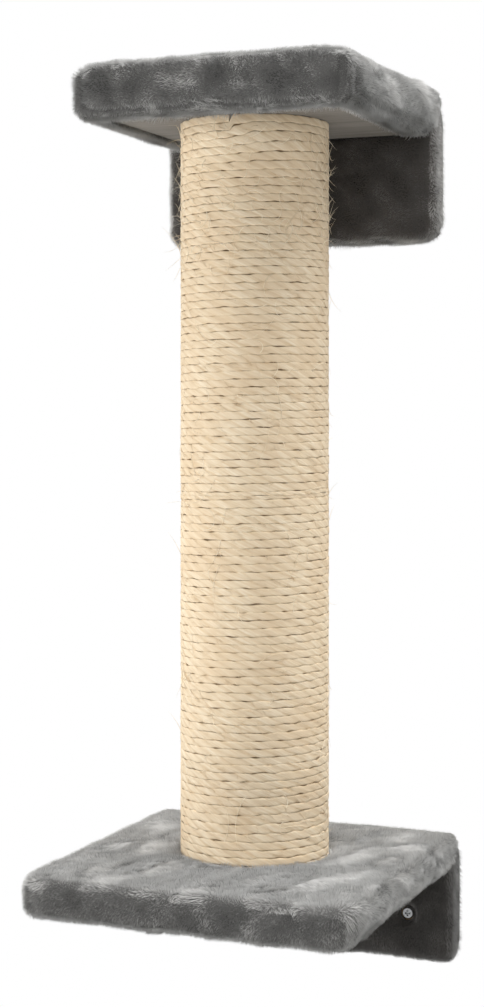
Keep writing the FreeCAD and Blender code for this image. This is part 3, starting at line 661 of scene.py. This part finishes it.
def plushBody(name, spec):
    # the cover's own solid, with the rounding and the shape of the stuffed cloth, sunk where the pile stands
    # on it and roughened by clumps and billows
    form = clothSpec
    mesh = voxelCopy(name, pileSpec["voxel"], spec.get("plugs", ()))
    points, normals = meshArrays(mesh)[:2]
    low, high = boxOf(spec["over"])
    box = boxOf([name])
    beyond = np.maximum(low + form["boardRound"] - points, points - high + form["boardRound"])
    depth = np.linalg.norm(np.maximum(beyond, 0), axis=1) - form["boardRound"]
    thick = smoothStep(depth, *form["skin"])  # by how far a point is outside the boards
    reshapeCover(points, thick, box, spec)
    shapeCloth = shelfCloth if "hem" in spec else plateCloth
    shapeCloth(points, thick, box, high[2], spec)
    rough = (pileSpec["clump"] * waveField(points, pileSpec["clumpWidth"], spec["seed"])
             + pileSpec["billow"] * waveField(points, pileSpec["billowWidth"], spec["seed"] + 1))
    sunk = np.minimum(spec["inset"], 0.55 * depth) - rough
    points -= normals * (thick * offWall(normals) * sunk)[:, None]
    if "hem" in spec:
        keepOffBoard(points, depth, low, high)
    for x, z in spec.get("bare", ()):  # pressed down round a screw's head
        away = np.hypot(points[:, 0] - x, points[:, 2] - z)
        pressed = (1 - smoothStep(away, *form["headPress"])) * smoothStep(-normals[:, 1], 0.2, 0.6)
        points[:, 1] += pressed * np.maximum(low[1] - form["headDeep"] - points[:, 1], 0)
    movePoints(mesh, points)
    # the body's tone is low on the plates, which paints them in shade
    toneAndShade = spec["toneAndShade"] * (0.95 + 0.06 * waveField(points, 25 * mm, spec["seed"] + 2))
    # the body under the pile is painted nearly as dark as the roots, painted shade between the fibres
    dressMesh(mesh, {"tip": np.full(len(points), pileSpec["tipOfBody"]), "toneAndShade": toneAndShade})
    piece = placePiece(name.replace("cover", "plush"), mesh, spec["cloth"], [name])
    points, normals, corners = meshArrays(mesh)
    return points, normals, corners, thick * offWall(normals)


def plushPile(name, body, chosen, density, spec):
    # straight tapering fibres of three sides, sheared to one height: root, lean and heading come from the
    # surface and smooth fields. Each is shaded by a normal between the surface's and its own flank's, as a
    # dense pile is
    points, normals, corners, furred = body
    rng = np.random.default_rng(spec["seed"] + len(name))
    a, b, c = (points[corners[:, i]] for i in range(3))
    area = np.linalg.norm(np.cross(b - a, c - a), axis=1) / 2
    area = area * chosen * (furred[corners].mean(1) > 0.5)
    count = int(area.sum() / mm ** 2 * density)
    steps = (np.arange(count) + rng.uniform(size=count)) / count * area.sum()
    face = np.minimum(np.searchsorted(np.cumsum(area), steps), len(area) - 1)
    u, v = np.sqrt(rng.uniform(size=count)), rng.uniform(size=count)
    weights = np.stack([1 - u, u * (1 - v), u * v], 1)[..., None]
    roots = (points[corners[face]] * weights).sum(1)
    facing = unit((normals[corners[face]] * weights).sum(1))
    nap = np.array(spec["nap"])
    heading = unit(nap - facing * (facing @ nap)[:, None] + 1e-4)
    upright = smoothStep(-facing[:, 1], 0.75, 0.97)  # the faces to the front stand up, the others lie down
    drawn = roots * [1, 0.45, 1]  # the patches are long from wall to front
    turn = spec["swirl"] * waveField(drawn, pileSpec["patchWidth"], spec["seed"] + 3)
    turn = turn + rng.normal(0, 0.12, count) + upright * rng.normal(0, 0.5, count)
    across = np.cross(facing, heading)
    heading = heading * np.cos(turn)[:, None] + across * np.sin(turn)[:, None]
    brushingAndSheen = waveField(drawn, pileSpec["patchWidth"] * 0.8, spec["seed"] + 4)
    lean = (pileSpec["lean"] + spec["leanSpread"] * brushingAndSheen * (1 - 0.4 * upright) - spec["stand"] * upright
            + rng.normal(0, pileSpec["leanStray"], count))
    lean = np.radians(np.clip(lean, *pileSpec["leanRange"]))[:, None]
    way = facing * np.cos(lean) + heading * np.sin(lean)
    length = np.minimum(spec["height"] / np.cos(lean), pileSpec["longest"])
    tips = roots + way * length * rng.uniform(0.9, 1.05, (count, 1))
    for x, z in spec.get("bare", ()):
        away = np.hypot(tips[:, 0] - x, tips[:, 2] - z)
        length *= (0.2 + 0.8 * smoothStep(away, *pileSpec["headBare"]))[:, None]
    lock = waveField(roots, pileSpec["lockWidth"], spec["seed"] + 5)
    pull = waveSlope(roots, pileSpec["lockWidth"], spec["seed"] + 5) * pileSpec["lockPull"]
    pull -= facing * (pull * facing).sum(1)[:, None]
    pull *= (spec["locks"] * (0.15 + 0.85 * upright))[:, None]
    length *= (1 + 0.06 * np.clip(lock, -1.5, 1.5))[:, None]
    if "hem" in spec:
        length *= (0.45 + 0.55 * smoothStep(-roots[:, 1], 0, pileSpec["wallFade"]))[:, None]
    tips = roots + way * length + pull * (length / pileSpec["longest"])
    tips[:, 1] = np.minimum(tips[:, 1], -0.5 * mm)  # the wall is there
    roots = roots - facing * pileSpec["rootSunk"]
    ring = threeRound(way, facing + 1e-3, rng.uniform(0, 2 * np.pi, (count, 1)))
    base = roots[:, None] + ring * pileSpec["width"] / 2 * rng.uniform(0.8, 1.2, (count, 1, 1))
    vertices = np.concatenate([base, tips[:, None]], 1).reshape(-1, 3)
    local = np.array([[0, 1, 3], [1, 2, 3], [2, 0, 3], [2, 1, 0]])
    faces = (np.arange(count)[:, None, None] * 4 + local).reshape(-1, 3)
    # a fibre on a front gets a darker tip, painted shade on the fronts
    tip = np.stack([np.full(count, pileSpec["tipOfRoot"])] * 3 + [1 - 0.2 * upright], 1).ravel()
    # tone: random, and paler where the brushing field leans the fibres further, which is painted sheen
    patchy = spec["streaks"] + (spec["mottle"] - spec["streaks"]) * upright
    toneAndShade = (0.97 + patchy * np.clip(brushingAndSheen, -2, 2) + 0.07 * np.clip(lock, -1.5, 1.5)
            + rng.normal(0, 0.04, count) + rng.normal(0, 0.2, count) * upright)
    toneAndShade = spec["toneAndShade"] * np.maximum(toneAndShade, 0.1)
    # painted light and shade: a top is painted paler or darker and a front darker, for how light falls on
    # them;
    # a plate's edges are painted paler as sheen, and one plate's left paler as painted light
    toneAndShade *= 1 + spec["top"] * smoothStep(facing[:, 2], 0.7, 0.95) - spec["front"] * upright
    sides = smoothStep(np.abs(facing[:, 0]), 0.15, 0.65)
    toneAndShade *= 1 + spec["edge"] * np.maximum(sides, 1 - smoothStep(-facing[:, 1], 0.1, 0.97))
    toneAndShade *= 1 + spec.get("paler", 0) * smoothStep(-roots[:, 0], 50 * mm, 100 * mm)
    foot = [[0.1, 0.1], [0.9, 0.1]]  # of each flank on the map
    cut = inSquares(np.array((foot + [[0.5, 0.9]]) * 3 + foot + [[0.5, 0.15]]), count)
    piece = addPiece(
        name, vertices, [faces], spec["cloth"],
        values={"tip": tip, "toneAndShade": np.repeat(toneAndShade, 4)}, maps={"OFBake": cut})
    flank = facing * np.sin(lean) - heading * np.cos(lean)
    shade = np.repeat(unit(pileSpec["softShade"] * facing + (1 - pileSpec["softShade"]) * flank), 4, 0)
    shading = piece.data.attributes.new("custom_normal", "FLOAT_VECTOR", "POINT")
    shading.data.foreach_set("vector", shade.astype(np.float32).ravel())


lowScrews = [(-91 * mm, 0.0), (91 * mm, 0.0)]  # x and z of the heads, which show
highScrews = [((x, -21.7 * mm, 574 * mm), 6.5 * mm, 4 * mm) for x in (-76 * mm, 76 * mm)]  # under the pile
# axis: the outline's second one, beside x; corner: its radius at both ends; rims: axis and side of each rim,
# its radius in the solid, along the sides and at both ends; hem: up at the front, more to the right, and at
# the sides; stand: degrees that fibres on the front stand up more
shelfForm = {
    "cloth": plush, "axis": 1, "inset": 1.3 * mm, "height": 2.9 * mm,
    "stand": 33, "swirl": 0.6, "leanSpread": 17, "locks": 1.0,
    "toneAndShade": 1.0, "mottle": 0.28, "streaks": 0.09, "front": 0.14, "edge": 0}
plateForm = {
    "cloth": shadedPlush, "axis": 2, "inset": 1.4 * mm, "height": 2.7 * mm,
    "stand": 28, "swirl": 0.3, "leanSpread": 8, "locks": 0.5,
    "mottle": 0.46, "streaks": 0.04, "front": 0.14, "top": 0,
    "rims": [(1, -1, 10 * mm, 9 * mm, (10 * mm, 9 * mm))]}
# the pile's tone is low on the plates, painted shade; top, front, edge and paler paint light and shade on
# tops, fronts, plate edges and the upper plate's left
coverSpecs = {
    "lower_shelf_cover": {
        **shelfForm, "over": ["lower_shelf_board"], "nap": (0.15, -0.75, -0.6), "corner": (24 * mm, 1 * mm),
        "toneAndShade": 0.95, "top": 0.12, "front": 0.22,
        "rims": [(2, -1, 10 * mm, 13 * mm, (10 * mm, 1 * mm)), (2, 1, 10 * mm, 7 * mm, (10 * mm, 1 * mm))],
        "hem": (-1.2 * mm, -1.2 * mm, 2.0 * mm), "crown": 0.6 * mm, "wider": 0.5 * mm, "seed": 14},
    "lower_wall_cover": {
        **plateForm, "over": ["lower_wall_board"], "nap": (0.3, -0.6, -0.7), "toneAndShade": 0.21, "edge": 0.85,
        "corner": (10 * mm, 9 * mm), "bare": lowScrews, "shelf": 34 * mm, "wider": 0.5 * mm, "seed": 31},
    "upper_shelf_cover": {
        **shelfForm, "over": ["upper_shelf_board", "upper_shelf_pad"], "nap": (0.1, -0.7, -0.65),
        "corner": (26 * mm, 1 * mm), "top": -0.18, "mottle": 0.46,
        "rims": [(2, -1, 10 * mm, 14 * mm, (11 * mm, 1 * mm)), (2, 1, 10 * mm, 18 * mm, (10 * mm, 1 * mm))],
        "hem": (2.2 * mm, -1.8 * mm, 3.4 * mm), "crown": 1.6 * mm, "wider": 2.2 * mm, "tight": 8 * mm,
        "seed": 53},
    "upper_wall_cover": {
        **plateForm, "over": ["upper_wall_board"], "nap": (-0.3, -0.6, -0.7), "toneAndShade": 0.41, "edge": 2.1,
        "paler": 0.6, "corner": (16 * mm, 9 * mm), "plugs": highScrews, "shelf": 608 * mm,
        "wider": 1.9 * mm, "seed": 71}}
topDensity, rimDensity, plateDensity = 1.45, 1.3, 1.25  # fibres on a square millimetre
for cover, spec in coverSpecs.items():
    body = plushBody(cover, spec)
    middle = body[0][body[2]].mean(1)  # of each triangle
    onTop = body[1][body[2]].mean(1)[:, 2] > 0.75
    plain = cover.replace("_cover", "")
    if "shelf" in cover:
        clear = middle[:, 1] < -3 * mm  # of the wall
        left = onTop & (middle[:, 0] < 0)
        plushPile(plain + "_pile_left", body, left & clear, topDensity, spec)
        plushPile(plain + "_pile_right", body, onTop & ~left & clear, topDensity, spec)
        plushPile(plain + "_pile_rim", body, ~onTop & clear, rimDensity, spec)
    else:
        over = (middle[:, 2] - spec["shelf"]) / (body[0][:, 2].max() - spec["shelf"])
        atSide = np.abs(middle[:, 0]) > body[0][:, 0].max() - 12 * mm
        shown = np.where(atSide, over < 0.7, over < 0.15)  # the rest is under the shelf's cloth
        plushPile(plain + "_pile", body, shown, plateDensity, spec)
print("plush grown")


# Linings: flat cloth under each shelf, stapled all round inside the hem

liningSpec = {
    "thick": 0.7 * mm, "rings": 26, "columns": 120, "ripple": 0.048 * mm, "rippleWidth": 9 * mm,
    "under": 0.15 * mm,  # the board
    "tuck": 2 * mm}  # by which its back edge goes into the plate's pile


def liningSheet(nodeName, hole, seed):
    # rings of points that change from the bolt's hole to the cloth's rectangle, with ripples along its width
    spec = liningSpec
    low, high = boxOf([nodeName])
    high[1] += spec["tuck"]
    middle = (low + high) / 2
    half = (high - low) / 2
    angle = 2 * np.pi * np.arange(spec["columns"]) / spec["columns"]
    way = np.stack([np.cos(angle), np.sin(angle)], 1)
    slant = np.where(np.abs(way) < 1e-9, 1e-9, way)
    reach = ((middle[:2] + np.sign(slant) * half[:2] - postAxis) / slant).min(1)
    share = (np.arange(spec["rings"]) / (spec["rings"] - 1))[:, None]
    radius = hole + (reach[None, :] - hole) * share
    flat = postAxis + radius[..., None] * way
    drawn = np.stack([flat[..., 0] * 0.12, flat[..., 1], 0 * flat[..., 0]], -1).reshape(-1, 3)
    height = high[2] - spec["thick"] / 2 - spec["under"]
    height = height + spec["ripple"] * waveField(drawn, spec["rippleWidth"], seed)
    points = np.concatenate([flat.reshape(-1, 2), height[:, None]], 1)
    faces = gridFaces(spec["rings"], spec["columns"])[:, ::-1]  # the underside is the cloth's face
    piece = addPiece(nodeName.replace("lining", "cloth"), points, [faces], lining, [nodeName])
    thicken = piece.modifiers.new("cloth", "SOLIDIFY")
    thicken.thickness = spec["thick"]
    thicken.offset = 0


liningSheet("lower_shelf_lining", 14.6 * mm, 3)
liningSheet("upper_shelf_lining", 5.0 * mm, 4)


# Wall screws: pan heads with a cross recess, and a coarse thread

screwSpec = {
    "head": 4.6 * mm, "headHigh": 3.2 * mm, "shank": 2.5 * mm, "core": 1.75 * mm,
    "flat": 0.8, "fall": 0.175 * mm, "rimHigh": 1.984 * mm,  # the flat's share of the head, and heights
    "threadPitch": 2.2 * mm, "point": 6 * mm, "arm": 0.55 * mm, "armLength": 2.1 * mm, "recess": 1.5 * mm,
    "columns": 36, "recessRows": 18, "pointRows": 10}


def wallScrew(x, z, top, tip):
    # a grid of revolution about Y: rows go out over the head, down its rim and along the thread to the point;
    # the recess pushes in where a point of the head lies inside one of two crossed arms
    spec = screwSpec
    head, headHigh, core, columns = (spec[key] for key in ("head", "headHigh", "core", "columns"))
    angle = 2 * np.pi * np.arange(columns) / columns
    bulge = np.linspace(0, np.pi / 2, 9)[1:]
    capRadius = head * np.concatenate([
        np.linspace(0.02, spec["flat"], 16), spec["flat"] + (1 - spec["flat"]) * np.sin(bulge)])
    capDepth = np.concatenate([
        spec["fall"] * np.linspace(0, 1, 16) ** 2, spec["fall"] + spec["rimHigh"] * (1 - np.cos(bulge))])
    seat = top + headHigh
    shankDepth = np.arange(seat + 0.2 * mm, tip - spec["point"] - 0.1 * mm, spec["threadPitch"] / 5) - top
    pointDepth = np.linspace(tip - spec["point"], tip, spec["pointRows"]) - top
    depth = np.concatenate([capDepth, [headHigh, headHigh], shankDepth, pointDepth])
    radius = np.concatenate([
        capRadius, [head, core], np.full(len(shankDepth), core),
        core * np.linspace(1, 0.03, spec["pointRows"])])
    threaded = np.concatenate([
        np.zeros(len(capRadius) + 2), np.ones(len(shankDepth)), np.linspace(1, 0.1, spec["pointRows"])])
    climb = (depth[:, None] / spec["threadPitch"] - angle[None, :] / (2 * np.pi)) % 1
    ridge = np.clip(1 - np.abs(climb - 0.5) / 0.22, 0, 1) * (spec["shank"] - core)
    spread = radius[:, None] + threaded[:, None] * ridge
    across, upward = spread * np.cos(angle), spread * np.sin(angle)
    inArm = [smoothStep(spec["arm"] - np.abs(u), -0.15 * mm, 0.15 * mm)
             * smoothStep(spec["armLength"] - np.abs(v), -0.25 * mm, 0.25 * mm)
             for u, v in ((across, upward), (upward, across))]
    onCap = (np.arange(len(depth)) < spec["recessRows"])[:, None]
    sunk = np.maximum(*inArm) * spec["recess"] * onCap
    rows = np.stack([x + across, top + depth[:, None] + sunk, z + upward], -1)
    hubs = np.array([[x, top + spec["recess"], z], [x, tip, z]])
    count = len(depth) * columns
    headCap = fanFaces(0, columns, count)
    pointCap = fanFaces(count - columns, columns, count + 1)[:, [1, 0, 2]]
    quads = gridFaces(len(depth), columns)[:, ::-1]
    return np.concatenate([rows.reshape(-1, 3), hubs]), quads, np.concatenate([headCap, pointCap])


for level in ("lower", "upper"):
    low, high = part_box(level + "_wall_screws")
    pair = [wallScrew(x, (low.z + high.z) / 2, low.y, high.y)
            for x in (low.x + screwSpec["head"], high.x - screwSpec["head"])]
    points, quads, caps = zip(*pair)
    shift = len(points[0])
    addPiece(level + "_wall_screw_pair", np.concatenate(points),
             [np.concatenate([faces[0], faces[1] + shift]) for faces in (quads, caps)],
             zinc, [level + "_wall_screws"])
print("screws cut")

# Foam pad under the upper plush: the solid's copy, its edges eased

padMesh = voxelCopy("upper_shelf_pad", 3 * mm)
padPoints, padNormals = meshArrays(padMesh)[:2]
padPoints -= padNormals * (0.4 * mm + 0.25 * mm * waveField(padPoints, 12 * mm, 91))[:, None]
movePoints(padMesh, padPoints)
placePiece("upper_shelf_foam", padMesh, foam, ["upper_shelf_pad"])
print("foam pad eased")


# Camera, light and floor

cameraSpec = {
    "place": (531.6 * mm, -1457.7 * mm, 392.3 * mm), "azimuth": 21.94,  # degrees round from the front
    "focal": 1904.2, "picture": (484, 1007), "centre": (243.9, 414.8)}  # in pixels of the picture


def setCamera(spec):  # level, and shifted by the picture's centre
    wide, high = spec["picture"]
    camera = bpy.data.cameras.new("camera")
    camera.lens = spec["focal"] / high * camera.sensor_width  # the sensor's width lies along the long side
    camera.shift_x = (wide / 2 - spec["centre"][0]) / high
    camera.shift_y = (spec["centre"][1] - high / 2) / high
    seat = bpy.data.objects.new("camera", camera)
    seat.location = spec["place"]
    seat.rotation_euler = (math.pi / 2, 0, math.radians(spec["azimuth"]))
    scene.collection.objects.link(seat)
    scene.camera = seat


def paleStage(floorHeight):
    # a white studio: the floor is white cloth, and what the camera sees beyond it is white too
    material = newMaterial("studioFloor", Roughness=0.9, Base_Color="#dadad8")[0]
    half = 1.6  # its far edge stays just below the picture
    mesh = bpy.data.meshes.new("floor")
    corners = [(-half, -half), (half, -half), (half, half), (-half, half)]
    mesh.from_pydata([(x, y, floorHeight) for x, y in corners], [], [(0, 1, 2, 3)])
    mesh.materials.append(material)
    floor = bpy.data.objects.new("floor", mesh)
    scene.collection.objects.link(floor)
    world = bpy.data.worlds.new("studio")
    world.use_nodes = True
    tree = world.node_tree
    tree.nodes.clear()
    path = addNode(tree, "LightPath")
    shown = path.outputs["Is Camera Ray"]
    for ray in ("Is Glossy Ray", "Is Transmission Ray"):
        shown = addNode(tree, "Math", {0: shown, 1: path.outputs[ray]}, operation="MAXIMUM")
    strength = addNode(tree, "MapRange", {0: shown, 3: 0.1, 4: 1.0})
    sky = addNode(tree, "Background", {"Color": "#ffffff", "Strength": strength})
    addNode(tree, "OutputWorld", {"Surface": sky})
    scene.world = world


softboxes = {  # place and size in metres, and watts
    "softboxLeft": ((-1.6, -0.9, 0.2), (1.0, 1.6), 24),
    "softboxRight": ((1.75, -0.5, 0.6), (1.0, 1.4), 5.4),
    "softboxTop": ((0.4, 0.5, 4.0), (4.4, 4.4), 425),
    "softboxFront": ((0.32, -2.4, 0.8), (1.4, 1.2), 15.5),
    "softboxLow": ((1.3, -0.15, -0.5), (0.8, 0.8), 1)}
postMiddle = np.array([0.0, -0.12, 0.3])  # the lamps are turned to it
for name, (place, size, power) in softboxes.items():
    lamp = bpy.data.lights.new(name, "AREA")
    lamp.shape = "RECTANGLE"
    lamp.size, lamp.size_y = size
    lamp.energy = power
    softbox = bpy.data.objects.new(name, lamp)
    softbox.location = place
    way = postMiddle - place
    softbox.rotation_euler = (math.acos(-way[2] / np.linalg.norm(way)), 0, math.atan2(-way[0], way[1]))
    softbox.visible_camera = False
    scene.collection.objects.link(softbox)
setCamera(cameraSpec)
paleStage(floorHeight=-0.8)
scene.view_settings.view_transform = "Standard"
print("camera and light set")

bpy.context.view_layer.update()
made = [piece.data for piece in scene.objects if piece.type == "MESH" and piece.name not in cadNodes]
print("triangles:", sum(len(mesh.loops) - 2 * len(mesh.polygons) for mesh in made))
